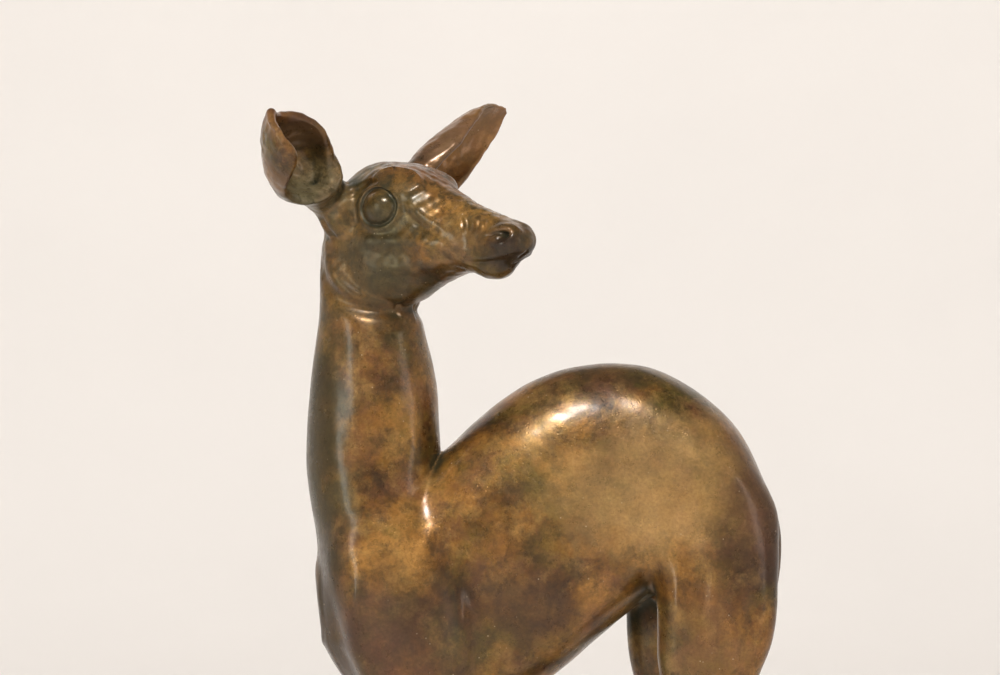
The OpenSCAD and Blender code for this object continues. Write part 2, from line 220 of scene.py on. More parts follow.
def capped(ring, along, first, last, rounding):
    """A loft's rings, ended at its first and last places with a rounded edge."""
    return soft_max(ring, np.maximum(first - along, along - last) + 0 * ring, rounding)


def egg_loft(table, softness, squareness, rounding):
    """Rings across the first axis: [place, top, bottom, half width, height of the widest point]."""
    columns = fair_curve(table, softness)
    first, last = min(r[0] for r in table), max(r[0] for r in table)

    def distance(x, y, z):
        top, bottom, half, widest = columns(x)
        v = z - widest
        reach = np.where(v > 0, top - widest, widest - bottom)
        size = (
            (np.abs(y) / half) ** squareness + (np.abs(v) / reach) ** squareness
        ) ** (1 / squareness)
        ring = np.sqrt(y * y + v * v) * (1 - 1 / np.maximum(size, 0.02))
        return capped(ring, x, first, last, rounding)

    return distance


def limb_loft(table, softness, side, step, rounding):
    """Rings across Z: [z, centre x, half length, side, half width]."""
    columns = fair_curve(table, softness)
    first, last = min(r[0] for r in table), max(r[0] for r in table)

    def distance(x, y, z):
        centre, half_x, out, half_y = columns(z)
        ring = ellipse((x - step - centre, side * y - out), (half_x, half_y))
        return capped(ring, z, first, last, rounding)

    return distance


def ellipsoid(centre, half):
    def distance(*at):
        return ellipse([c - m for c, m in zip(at, centre)], half)

    return distance


def stroke(points, width):
    """A relief along a smooth line through [p, q, height] points, for a pair of coordinates."""
    points = np.array(points, float)
    lengths = np.hypot(*np.diff(points[:, :2], axis=0).T)
    along = np.concatenate([[0], np.cumsum(lengths)])
    columns = fair_curve(np.column_stack([along, points]), max(width, along[-1] / 12))
    path = np.stack(columns(np.linspace(0, along[-1], max(6, int(along[-1] / width) + 2))), 1)

    def relief(p, q):
        nearest = np.full(np.broadcast(p, q).shape, 1e6, np.float32)
        height = np.zeros_like(nearest)
        for (p0, q0, h0), (p1, q1, h1) in zip(path, path[1:]):
            dp, dq = p1 - p0, q1 - q0
            t = np.clip(((p - p0) * dp + (q - q0) * dq) / (dp * dp + dq * dq + 1e-9), 0, 1)
            gap = (p - p0 - t * dp) ** 2 + (q - q0 - t * dq) ** 2
            closer = gap < nearest
            nearest = np.where(closer, gap, nearest)
            height = np.where(closer, h0 + t * (h1 - h0), height)
        return height * np.exp(-nearest / (2 * width * width))

    low = points[:, :2].min(0) - 3.5 * width
    high = points[:, :2].max(0) + 3.5 * width
    return relief, low, high


def raise_stroke(field, axes, points, width, across, span, gate):
    """Raises a stroke on surfaces that face one axis, within a span of that axis. Points are
    on the other two axes, and gate gives the share of the relief at a place across them."""
    relief, low, high = stroke(points, width)

    def depth(*at):
        p, q = [c for k, c in enumerate(at) if k != across]
        return -relief(p, q) * gate(at[across])

    field.press(axes, np.insert(low, across, min(span)), np.insert(high, across, max(span)), depth)


def side_strokes(field, axes, strokes, outer):
    """Raises [inner, points, width] strokes on both sides of a form. Points are [along, up,
    height], and each relief lies between inner and outer from the middle plane."""
    for inner, points, width in strokes:
        fade = inner - SIDE_FADE
        for side in (-1, 1):
            raise_stroke(
                field, axes, points, width, 1, (side * fade, side * outer),
                lambda y: ramp(side * y, fade, inner)
            )


# ---- the doe's forms ----

TORSO_SECTIONS = [
    (-118, 218, 180, 9, 200), (-113, 236, 170, 18, 200), (-104, 250, 159, 26, 200),
    (-92, 260, 151, 32, 200), (-78, 266, 148, 35, 202), (-63, 273, 147, 37, 206),
    (-46, 289, 148, 38, 212), (-28, 304, 152, 38, 219), (-13, 313, 159, 37.5, 227),
    (0, 318, 168, 36.5, 235), (15, 321, 181, 35, 245), (31, 321.5, 195, 34, 253),
    (45, 319.5, 205, 34.5, 258), (58, 314, 210, 35.5, 258), (70, 306.5, 210, 35.5, 256),
    (80, 298.5, 212, 34, 254), (90, 287.5, 216, 31.5, 250), (98, 274.5, 221, 27, 245),
    (104, 258, 227, 20, 241), (107, 245, 234, 10, 238),
]
NECK_SECTIONS = [
    (188, -112, -72, 22), (204, -118, -65, 30), (218, -119.3, -62, 33), (232, -121, -60, 34),
    (246, -123.6, -58.5, 34), (261, -126, -58.5, 33), (276.5, -127, -59.5, 31.5),
    (291, -126.3, -60.3, 30), (306, -125, -61, 28.5), (321, -123.7, -63.3, 27),
    (336, -121.5, -67.5, 24.4), (349, -120, -69.8, 22), (364, -120.3, -73, 20),
    (378, -119.8, -77, 19.5), (388, -117.5, -80, 17.5), (396, -113, -84, 14), (402, -107, -90, 8),
]
HIND_SECTIONS = [
    (282, 68, 10, 16, 9), (270, 71, 22, 18, 13.5), (254, 75, 30, 19.5, 16),
    (234, 76.5, 30.8, 21, 16.5), (216, 76.3, 30.4, 22, 16.5), (200, 76, 30, 23, 16),
    (184, 75, 28.5, 24, 15), (171, 73, 25.2, 24.4, 13.8), (160, 72.2, 21.8, 24.4, 12.4),
    (151, 72.6, 18.6, 24.4, 11.4), (142, 74.4, 15.8, 24.2, 9.8), (132, 77.8, 12.6, 24, 8.4),
    (123, 80.8, 10.8, 24, 7.6), (115, 82.4, 9.2, 24, 7.2), (106, 82.9, 7, 24, 6.2),
    (92, 82.4, 5.4, 24, 5.1), (72, 81.2, 4.8, 24, 4.7), (52, 80.2, 4.6, 24, 4.5),
    (36, 79.6, 4.9, 24, 4.8), (27, 78.8, 6.2, 24, 5.8), (20, 77.2, 6.4, 24, 5.6),
    (14, 75, 5.8, 24, 5.3), (9, 73, 6.7, 24, 5.7), (4.5, 71.3, 8.2, 24, 6.4), (-3, 67.6, 11, 24, 7.2),
]
FORE_SECTIONS = [
    (254, -84, 10, 18, 9), (242, -85, 21, 21, 13), (224, -83, 27.5, 23, 14.8),
    (202, -79, 29.5, 24, 15), (184, -75, 29, 24.4, 14.6), (170, -72.5, 26, 24.3, 13.6),
    (157, -71, 20.5, 24, 12.4), (145, -70.5, 15.6, 23.6, 10.8), (131, -70.5, 12.4, 23, 9.2),
    (120, -70.8, 10, 23, 8), (110, -71.2, 8.5, 23, 7.1), (102, -71.4, 7.7, 23, 6.8),
    (95, -71.8, 7.7, 23, 7), (87, -71.8, 6.9, 23, 6.5), (78, -71.6, 5.5, 23, 5.4),
    (62, -71.4, 4.7, 23, 4.8), (42, -71.4, 4.6, 23, 4.7), (31, -71.7, 5, 23, 5),
    (23.5, -72.4, 6.2, 23, 5.8), (17, -74, 6.1, 23, 5.5), (12, -76, 5.5, 23, 5.2),
    (7, -77.8, 7, 23, 5.9), (3.5, -79, 8.6, 23, 6.5), (-3, -81.4, 11, 23, 7.2),
]
TAIL_SECTIONS = [
    (262, 97, 3, 0, 4), (252, 102.2, 4, 0, 5.6), (244, 105.2, 4, 0, 6.6), (236, 106.8, 3.7, 0, 7),
    (223, 107.3, 3.2, 0, 7), (210, 106.3, 2.6, 0, 5.6), (199, 104.6, 1.9, 0, 3.6),
    (193, 103.4, 1.1, 0, 1.6),
]
HEAD_SECTIONS = [
    (-42, 2, -18, 7, -9), (-38, 8, -28, 13, -10), (-32, 15, -37, 18.5, -10), (-24, 20.5, -44.5, 21.5, -8),
    (-13, 23, -49.5, 22.5, -6), (-2, 22.5, -50, 22, -4), (8, 20, -46, 20.5, -6),
    (18, 15, -41, 18, -10), (28, 8.5, -36.5, 15.5, -14), (40, 2, -33, 13, -17),
    (52, -2.8, -35, 11.6, -19), (60, -6, -35.5, 11.2, -20.5), (67, -9, -30, 10.4, -20),
    (73.5, -13, -26, 8, -20), (77, -17, -23.5, 3.5, -20),
]

# The blade of an ear: [distance from the root, back, radius, angles to the outer and the inner
# edge, thickness, sideways]. The cup lies round an axis that is radius in front of the back.
EAR_BLADE = [
    (-10, -6.5, 4.5, 178, 178, 9, 0), (0, -7, 4.8, 178, 178, 9.6, 0), (8, -7.5, 5.5, 178, 178, 11, 0),
    (14, -8.2, 6, 170, 172, 14, 0), (19, -10.5, 9.6, 118, 130, 6.4, 0),
    (28, -12.5, 13.5, 92, 118, 4.2, 0),
    (40, -13.5, 16, 76, 110, 3.8, 0), (52, -13.5, 17, 64, 98, 3.5, 0), (62, -12.5, 17.5, 52, 82, 3.2, 0),
    (72, -10.5, 17.5, 37, 58, 2.9, 0), (79, -8.5, 17.5, 24, 38, 2.6, 0), (84, -7, 17, 12, 20, 2.4, 0),
    (87.5, -6, 17, 0, 8, 2, 0),
]
# The near ear goes out sideways before it rises, and its end is cut off aslant with a thick lip.
SLANTED_EAR_BLADE = [
    (-10, -11, 5.5, 178, 178, 11, 0), (0, -12, 5.5, 178, 178, 11, -1),
    (8, -13.3, 5.6, 178, 178, 11.2, -2.5), (14, -14.8, 6.2, 168, 164, 14.4, -3.8),
    (18, -17, 9.8, 118, 110, 11, -5.2), (22, -19, 13, 98, 98, 8.2, -6.5),
    (28, -20.8, 16, 90, 94, 5.4, -7.5), (34, -21.5, 17.5, 88, 92, 4, -8),
    (42, -21, 18, 96, 88, 3.6, -8), (49, -19.5, 18, 106, 60, 3.8, -7),
    (56, -17.5, 18, 112, 24, 4.6, -5), (62, -15.5, 18, 110, -4, 5.2, -3),
    (67, -13.5, 18, 92, -18, 4.8, -1), (71, -12, 18, 70, -30, 3.8, 1),
]
EAR_ROOT = (-26, 20, 3)
# Directions of the ears in the head's axes, and how far each cup is turned down
EAR_ALONG = {-1: (0.29, -0.749, 0.594), 1: (0.21, 0.81, 0.55)}
EAR_TURN = {-1: math.radians(-8), 1: math.radians(-15)}


def ear_axes(side):
    """Along the ear, then towards its opening, then across it, upwards."""
    along = np.array(EAR_ALONG[side]) / np.linalg.norm(EAR_ALONG[side])
    ahead = np.array([1.0, 0, 0]) - along[0] * along
    ahead /= np.linalg.norm(ahead)
    above = side * np.cross(along, -ahead)
    turn = EAR_TURN[side]
    opening = math.cos(turn) * ahead + math.sin(turn) * above
    across = math.cos(turn) * above - math.sin(turn) * ahead
    root = (EAR_ROOT[0], side * EAR_ROOT[1], EAR_ROOT[2])
    return Axes(HEAD.point(root), [HEAD.direction(v) for v in (along, opening, across)])


def ear_blade(table):
    columns = fair_curve(table, 2.5)
    last = table[-1][0]

    def distance(t, opening, across):
        back, radius, outer, inner, thickness, sideways = columns(t)
        p, q = opening - back - radius, across - sideways
        angle = np.clip(np.arctan2(q, -p), -np.radians(outer), np.radians(inner))
        wall = np.hypot(p + radius * np.cos(angle), q - radius * np.sin(angle))
        beyond = np.maximum(t - last, 0)
        return np.hypot(wall, beyond) - thickness / 2

    return distance


EARS = {-1: ear_blade(SLANTED_EAR_BLADE), 1: ear_blade(EAR_BLADE)}
EAR_LOW, EAR_HIGH = (-12, -32, -34), (92, 32, 30)
EYE = (-0.4, -1.0)              # middle of the eye along the muzzle, and upwards
EYE_REACH = (22, 20)            # half of the box that the eye is modelled in


def add_torso(field):
    field.add(
        BODY, (-128, -60, 130), (120, 60, 340),
        egg_loft(TORSO_SECTIONS, 6, 2.25, 8)
    )
    for side in (-1, 1):
        y_low, y_high = sorted((0, 60 * side))
        for table, step, joint, x_low, x_high, top in (
            (HIND_SECTIONS, HIND_STEP, HIND_JOINT, 20, 125, 300),
            (FORE_SECTIONS, FORE_STEP, FORE_JOINT, -130, -20, 270),
        ):
            leg = limb_loft(table, 3.5, side, step if side > 0 else 0, 4)
            field.add(
                BODY, (x_low, y_low, joint - 6), (x_high, y_high, top), spigot(leg, joint, -1), 14
            )
    neck = spigot(neck_loft(), NECK_JOINT, 1)
    where, at = field.window(BODY, (-140, -60, 170), (-30, 60, NECK_JOINT + 8))
    if where is not None:
        blend = 1.5 + 20 * ramp(NECK_JOINT - at[2], 0, 50)
        field.d[where] = soft_min(field.d[where], neck(*at), blend)


def spigot(distance, joint, way):
    """Past its joint a form is a little thinner and soon ends, inside the next casting."""
    def shape(x, y, z):
        past = way * (z - joint) - 1.2 * COARSE
        return np.maximum(distance(x, y, z) + ramp(past, 0, 2), past - 5)

    return shape


def neck_loft():
    columns = fair_curve(NECK_SECTIONS, 7)

    def distance(x, y, z):
        front, back, half = columns(z)
        ring = ellipse((x - (front + back) / 2, y), ((back - front) / 2, half))
        return capped(ring, z, NECK_SECTIONS[0][0], NECK_SECTIONS[-1][0], 4)

    return distance


# Muscles and hollows of the body, on both sides
BODY_STROKES = [
    # rear edge of the upper arm, and the hollow behind it
    (14, [(-57, 234, 0), (-53, 216, 2.2), (-50, 198, 3.8), (-49, 180, 3.4), (-53, 162, 0.8)], 4.2),
    (14, [(-42, 226, 0), (-37, 208, -2.6), (-35, 190, -3.8), (-38, 172, -2.4)], 7),
    # front edge of the shoulder
    (12, [(-98, 226, 0), (-101, 208, 0.9), (-101, 188, 1.2), (-98, 168, 0.6)], 4.5),
    (12, [(-108, 222, -0.6), (-110, 204, -1.6), (-109, 184, -1.8), (-106, 168, -0.8)], 4),
    # strands that fan out below the neck
    (12, [(-62, 244, 0), (-65, 235, 0.5), (-67, 228, 0.5), (-70, 220, 0)], 2.4),
    (12, [(-56, 244, 0), (-57, 235, 0.6), (-58, 228, 0.5), (-59, 220, 0)], 2.4),
    (12, [(-58, 246, 0), (-60, 236, -0.4), (-62, 228, -0.3), (-64, 220, 0)], 1.8),
    (12, [(-50, 262, 0), (-46, 252, 0.4), (-41, 243, 0.3), (-36, 236, 0)], 4),
    # flank fold in front of the thigh
    (10, [(38, 238, 0), (42, 222, -1.5), (44, 206, -2.4), (45, 190, -1.6), (47, 176, 0)], 5),
    (10, [(54, 252, 0), (52, 234, 0.8), (51, 214, 1.2), (52, 192, 0.8), (55, 172, 0)], 5),
    # parting of the thigh's muscles, between two rounded forms
    (10, [(60, 236, 0), (59, 222, 1.1), (58, 205, 1.3), (59, 186, 0)], 4.5),
    (10, [(69, 238, 0), (68, 222, -1.3), (67, 205, -1.6), (66, 188, -1), (66, 172, 0)], 3.8),
    (10, [(78, 240, 0), (77, 224, 1.2), (76, 206, 1.3), (75, 188, 0)], 4.5),
    # hip and the back of the thigh
    (10, [(58, 286, 0), (70, 276, 1), (80, 262, 0.8), (88, 246, 0)], 7),
    (10, [(92, 232, 0), (94, 214, -0.8), (92, 196, -1.1), (88, 180, -0.5)], 4.5),
]


def model_body(field):
    side_strokes(field, BODY, BODY_STROKES, 60)


def add_head(field):
    field.add(HEAD, (-46, -40, -62), (90, 40, 34), egg_loft(HEAD_SECTIONS, 3, 2.2, 3))
    for side in (-1, 1):
        # jaw muscle, brow, muzzle and chin
        masses = [
            ((-15, 12.5, -28), (20, 10.5, 18.5), 8), ((4, 12, 9), (16, 8.5, 8.5), 8),
            ((67, 4, -18), (9.5, 7, 8), 5), ((56, 2, -31.2), (8, 5.5, 4.4), 5),
            ((-28, 20, -3), (11, 9, 13), 9),
            ((24, 9.5, -20), (20, 7, 9), 8),
        ]
        for centre, half, blend in masses:
            centre = (centre[0], side * centre[1], centre[2])
            low = [c - h - blend for c, h in zip(centre, half)]
            high = [c + h + blend for c, h in zip(centre, half)]
            field.add(HEAD, low, high, ellipsoid(centre, half), blend)


# Modelling of the head, on both sides
HEAD_STROKES = [
    # brow arch, and the hollow between it and the lid
    (9, [
        (-25, 4, 0), (-20, 9, 0.9), (-11, 12.3, 1.3), (0, 13.6, 1.7), (8, 12, 1.9), (13, 7.5, 1.2),
    ], 3),
    (9, [(-20, 3.5, -0.3), (-15, 8, -0.9), (-7, 10.6, -1), (2, 10.4, -1), (8.5, 6.8, -0.8)], 1.2),
    # tear groove with the ridge above it
    (8, [(15, -3.5, 0), (18, -7, -0.9), (22, -10.6, -1.1), (28, -13.6, -0.8), (35, -16, 0)], 1.2),
    (8, [
        (11, 7, 0.6), (16, 2.5, 1.7), (21.5, -3, 2.1), (28.5, -7.6, 1.7), (38, -11.6, 0.9),
        (48, -15, 0),
    ], 2.7),
    # hollow below the eye, cheekbone, and the hollow under it
    (10, [(-13, -11, 0), (-6, -14, -0.5), (4, -14.6, -0.6), (12, -13, -0.4)], 1.6),
    (10, [
        (-22, -9, 0.2), (-12, -15, 0.7), (0, -17.4, 1.1), (13, -18, 1.3), (28, -19, 1),
        (40, -23, 0.3),
    ], 2.6),
    (9, [(-14, -22, 0), (2, -24, -0.9), (18, -24.5, -1.1), (34, -25, -0.7)], 2.8),
    # edge where the cheek turns under
    (7, [(-12, -31.5, 0), (4, -31.5, 0.5), (22, -30.5, 0.7), (38, -29, 0.6), (46, -26.5, 0.2)], 2),
    (6, [(-4, -35.5, 0), (10, -36, -0.4), (26, -35, -0.5), (42, -32, -0.4)], 2.4),
    # parting of the lips
    (3, [
        (45, -28, -0.2), (52, -29, -0.5), (60, -28.8, -0.6), (68, -27.6, -0.55), (75, -25.4, -0.3),
    ], 0.7),
    (3, [(46, -26, 0), (55, -26.6, 0.5), (64, -26.4, 0.7), (72, -24.8, 0.6)], 1.4),
    # nostril: comma-shaped hole, slit behind it and the lip below it
    (3, [(58, -16.6, -0.4), (63, -16, -1.3), (67, -15, -1.7), (70.5, -15.6, -2)], 0.8),
    (3, [(69.4, -16.4, -2.6), (70.8, -16.6, -2.6)], 1.4),
    (3, [(62, -19.3, 0), (66.5, -20.2, 0.4), (71.5, -19.6, 0.6), (74.2, -17.4, 0.3)], 1.1),
    (3, [(62, -13.2, 0), (67, -12, 0.5), (72, -12.7, 0.5)], 1.1),
    # fold below the ear, and two beside it
    (10, [(-31, -6, -0.6), (-28, -14, -1), (-27, -22, -0.4)], 1.5),
    (12, [(-22, 6, 0.8), (-20, -2, 0.9), (-20, -10, 0.4)], 2),
]


def model_head(field):
    """Eyes, lids, cheekbones, nostrils, lips and folds, on both sides."""
    side_strokes(field, HEAD, HEAD_STROKES, HEAD_SIDE)
    for k in range(5):
        # short wrinkles on the bridge of the nose
        at = 44 + 2.9 * k
        points = [
            (at - 2.6, -5.2, -0.1), (at + 0.4, -8, -0.5), (at + 2, -11.6, -0.5), (at + 1.6, -15.2, 0)
        ]
        side_strokes(field, HEAD, [(5, points, 0.55)], 20)
    for side in (-1, 1):
        add_eye(field, side)
    # a small line under the nose pad
    points = [(0, -29, -0.8), (0, -25, -0.7), (0, -22.5, 0)]
    raise_stroke(field, HEAD, points, 0.6, 0, (71, 84), lambda x: ramp(x, 71, 73))


def add_eye(field, side):
    """A round eyeball inside a thin raised lid, with a groove between them."""
    span = (side * 6, side * 36)
    box_low = (EYE[0] - EYE_REACH[0], min(span), EYE[1] - EYE_REACH[1])
    box_high = (EYE[0] + EYE_REACH[0], max(span), EYE[1] + EYE_REACH[1])

    def outward(y):
        return ramp(side * y, 8, 11)

    def ring(radius_ahead, radius_up, width, height):
        def depth(x, y, z):
            u, v = (x - EYE[0]) / radius_ahead, (z - EYE[1]) / radius_up
            size = np.sqrt(u * u + v * v)
            gap = (size - 1) * (radius_ahead + radius_up) / 2
            return -height * np.exp(-gap * gap / (2 * width * width)) * outward(y)
        return depth

    field.press(HEAD, box_low, box_high, ring(14.4, 12.6, 2.6, -0.6))
    centre = (EYE[0], side * 16.4, EYE[1])
    field.add(HEAD, box_low, box_high, ellipsoid(centre, (10.6, 10, 9.6)), 1)
    field.press(HEAD, box_low, box_high, ring(10, 9, 0.55, -0.7))
    field.press(HEAD, box_low, box_high, ring(12, 10.9, 1.2, 0.9))
    # the upper lid is thicker, and its corners run out to the front and the back
    lid = [
        (EYE[0] + ahead, EYE[1] + up, height) for ahead, up, height in
        ((-12.5, 1, 0), (-9.5, 7, 0.6), (-2, 10.8, 0.9), (6, 9.2, 0.7), (11, 4, 0))
    ]
    raise_stroke(field, HEAD, lid, 1.1, 1, span, outward)


def model_jaw(field):
    """The rear edge of the jaw, and the groove that parts it from the neck."""
    side_strokes(field, HEAD, [
        (8, [
            (-37, -16, 0), (-32, -28, 0.9), (-24, -38, 1.4), (-13, -45, 1.4), (3, -47, 0.9),
            (20, -45, 0.2),
        ], 2.4),
        (6, [
            (-41, -20, 0), (-37, -31, -1), (-29, -42.5, -1.8), (-16, -50, -2), (2, -52, -1.4),
            (18, -50, 0),
        ], 2.6),
    ], HEAD_SIDE)


def add_neck(field):
    field.add(BODY, (-140, -50, 180), (-40, 50, 410), neck_loft(), 2.2)


def model_neck(field):
    """Folds below the jaw and the long muscle down the side."""
    side_strokes(field, BODY, [
        (6, [
            (-114, 352, 0), (-104, 348, -0.2), (-92, 346, -0.4), (-78, 347, -0.7), (-68, 352, -0.4),
        ], 1.8),
        (6, [(-96, 338, 0), (-86, 336, 0.15), (-78, 337, 0.5), (-70, 341, 0.5)], 2.4),
        (10, [
            (-114, 350, 0), (-110, 330, -0.7), (-107, 305, -0.8), (-105, 280, -0.4), (-104, 262, 0),
        ], 4.5),
        (10, [(-78, 330, 0), (-76, 305, -0.5), (-78, 280, -0.7), (-80, 262, 0)], 4),
    ], 45)


def add_ear(field, side, blend):
    axes = ear_axes(side)
    field.add(axes, EAR_LOW, EAR_HIGH, EARS[side], blend)
    if side < 0:
        # a low ridge runs up the inside of the cup's back
        ridge = [(16, -3, 0.3), (24, -4, 1.2), (33, -6, 1.2), (43, -8, 0.3)]
        raise_stroke(field, axes, ridge, 1.8, 1, (-30, -6), lambda opening: 1 - ramp(opening, -14, -7))


# ---- meshes ----

def to_world(field, points):
    world = field.axes.origin + points @ field.axes.rows + [0, 0, GROUND]
    return world * MM


def settled(field, points):
    """Moves points onto the zero surface and gives their outward directions."""
    for _ in range(2):
        slope = field.gradient(points)
        size = np.maximum((slope ** 2).sum(1, keepdims=True), 0.05)
        move = -field.sample(points)[:, None] * slope / size
        points = points + np.clip(move, -field.step / 2, field.step / 2)
    slope = field.gradient(points)
    return points, slope / np.maximum(np.linalg.norm(slope, axis=1, keepdims=True), 1e-6)


def recess_of(field, points, normals):
    """0 in the open to 1 deep in a fold, from how near other bronze is in front of the surface. It is an
    occlusion measure, and the colour is darkened by it as painted shade, partly also as dark patina that
    gathers in folds.
    """
    total, weight = 0, 0
    for reach, share in ((1.0, 1.0), (2.0, 1.0), (4.0, 1.2), (8.0, 1.5), (14.0, 1.5)):
        ahead = field.sample(points + reach * normals)
        total = total + share * np.clip((reach - ahead) / reach, 0, 1)
        weight += share
    return total / weight


def ridge_of(field, points, normals):
    """0 on flat or hollow bronze to 1 on a sharp edge that handling has rubbed."""
    total = 0
    for reach in (1.2, 2.5):
        behind = field.sample(points - reach * normals)
        total = total + np.clip((behind + reach) / reach, 0, 1) / 2
    return total


def cut_flat(mesh, place, normal):
    """Removes what lies beyond a plane and closes the cut with a flat face."""
    bm = bmesh.new()
    bm.from_mesh(mesh)
    found = bmesh.ops.bisect_plane(
        bm, geom=bm.verts[:] + bm.edges[:] + bm.faces[:], dist=1e-8,
        plane_co=place, plane_no=normal, clear_outer=True
    )
    rim = [g for g in found["geom_cut"] if isinstance(g, bmesh.types.BMEdge)]
    bmesh.ops.holes_fill(bm, edges=rim, sides=0)
    bm.to_mesh(mesh)
    bm.free()


def tool_waves(longest, shortest, height, seed):
    """Sine waves in many directions, as their wave vectors, phases and height."""
    count = 14
    chance = np.random.default_rng(seed)
    ways = chance.normal(size=(count, 3))
    ways /= np.linalg.norm(ways, axis=1, keepdims=True)
    lengths = chance.uniform(shortest, longest, (count, 1))
    phases = chance.uniform(0, 2 * math.pi, count)
    return ways * 2 * math.pi / lengths, phases, height / math.sqrt(count / 2)


LONG_WAVES = tool_waves(34, 15, 0.07, 5)
SHORT_WAVES = tool_waves(8, 3.6, 0.012, 8)


def hand_modelling(field, points):
    """Uneven relief from the modeller's tools: faint on the body and the eyes, lively on the head."""
    at = field.axes.point(points)
    head = ramp(at[:, 2], 350, 372)
    local = (at - HEAD.origin) @ HEAD.rows.T
    from_eye = np.hypot(local[:, 0] - EYE[0], local[:, 2] - EYE[1])
    total = 0
    for (ways, phases, height), gain in ((LONG_WAVES, 2), (SHORT_WAVES, 7)):
        total = total + height * (1 + gain * head) * np.sin(at @ ways.T + phases).sum(1)
    return total * ramp(at[:, 2], 24, 60) * (0.15 + 0.85 * ramp(from_eye, 8, 13))


def new_object(name, data):
    thing = bpy.data.objects.new(name, data)
    bpy.context.scene.collection.objects.link(thing)
    return thing


def casting(name, field, node, cuts, material):
    """Meshes a field as the piece that stands for a CAD node."""
    inner = np.clip(field.d, -BAND, BAND)
    for axis in range(3):
        edge = np.moveaxis(inner, axis, 0)
        edge[0] = edge[-1] = BAND
    grid = openvdb.FloatGrid(BAND)
    grid.copyFromArray(inner)
    points, quads = grid.convertToQuads(0.0)
    points = points * field.step + [t[0] for t in field.ticks]
    points, normals = settled(field, points)
    moved = points + normals * hand_modelling(field, points)[:, None]
    mesh = bpy.data.meshes.new(name)
    mesh.vertices.add(len(points))
    mesh.vertices.foreach_set("co", to_world(field, moved).astype(np.float32).ravel())
    mesh.loops.add(4 * len(quads))
    mesh.loops.foreach_set("vertex_index", quads[:, ::-1].astype(np.int32).ravel())
    mesh.polygons.add(len(quads))
    mesh.polygons.foreach_set("loop_start", np.arange(0, 4 * len(quads), 4, dtype=np.int32))
    for label, values in (
        ("recess", recess_of(field, points, normals)), ("ridge", ridge_of(field, points, normals))
    ):
        layer = mesh.attributes.new(label, "FLOAT", "POINT")
        layer.data.foreach_set("value", values.astype(np.float32))
    mesh.update()
    mesh.validate()
    for place, normal in cuts:
        cut_flat(mesh, place, normal)
    mesh.polygons.foreach_set("use_smooth", np.ones(len(mesh.polygons), bool))
    mesh.set_sharp_from_angle(angle=math.radians(60))
    mesh.materials.append(material)
    piece = new_object(name, mesh)
    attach(piece, "root")
    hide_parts(node)


def level(z, way):
    """A cut at a height above the terrace's top; way is the side that goes."""
    return (0, 0, (z + GROUND) * MM), (0, 0, way)


def make_torso(material):
    field = Field(BODY, (-131, -46, 123), (113, 46, 328), 1.22 * COARSE)
    add_torso(field)
    model_body(field)
    model_neck(field)
    casting("torso_casting", field, "torso", [], material)


def make_neck(material):
    field = Field(BODY, (-134, -38, 272), (-52, 38, 353), 0.6 * COARSE)
    add_neck(field)
    add_head(field)
    model_jaw(field)
    model_neck(field)
    model_body(field)
    cuts = [level(NECK_JOINT, -1), level(HEAD_JOINT, 1)]
    casting("neck_casting", field, "neck", cuts, material)


def ear_cut(side, way):
    axes = ear_axes(side)
    place = axes.point((EAR_JOINT, 0, 0)) + [0, 0, GROUND]
    return Vector(place) * MM, Vector(axes.rows[0]) * way


def make_head(material):
    field = Field(HEAD, (-52, -44, -54), (85, 44, 34), 0.56 * COARSE)
    add_head(field)
    model_head(field)
    add_neck(field)
    model_jaw(field)
    model_neck(field)
    for side in (-1, 1):
        add_ear(field, side, 4)
    cuts = [level(HEAD_JOINT, -1), ear_cut(-1, 1), ear_cut(1, 1)]
    casting("head_casting", field, "head", cuts, material)


def make_ear(side, name, node, material):
    field = Field(ear_axes(side), (9, *EAR_LOW[1:]), EAR_HIGH, 0.45 * COARSE)
    add_ear(field, side, 0)
    casting(name, field, node, [ear_cut(side, -1)], material)


def make_tail(material):
    field = Field(BODY, (92, -11, 186), (114, 11, 266), 0.4 * COARSE)
    field.add(BODY, (90, -12, 184), (116, 12, 268), limb_loft(TAIL_SECTIONS, 4, 1, 0, 2))
    for k in range(-3, 4):
        # hair strands that narrow towards the tip
        strand = [
            (1.9 * k, 250, 0), (2.1 * k, 234, -0.35), (1.9 * k, 218, -0.35), (1.2 * k, 202, -0.3),
            (0.5 * k, 194, 0),
        ]
        raise_stroke(field, BODY, strand, 0.45, 0, (92, 114), lambda x: 1)
    casting("tail_casting", field, "tail", [], material)


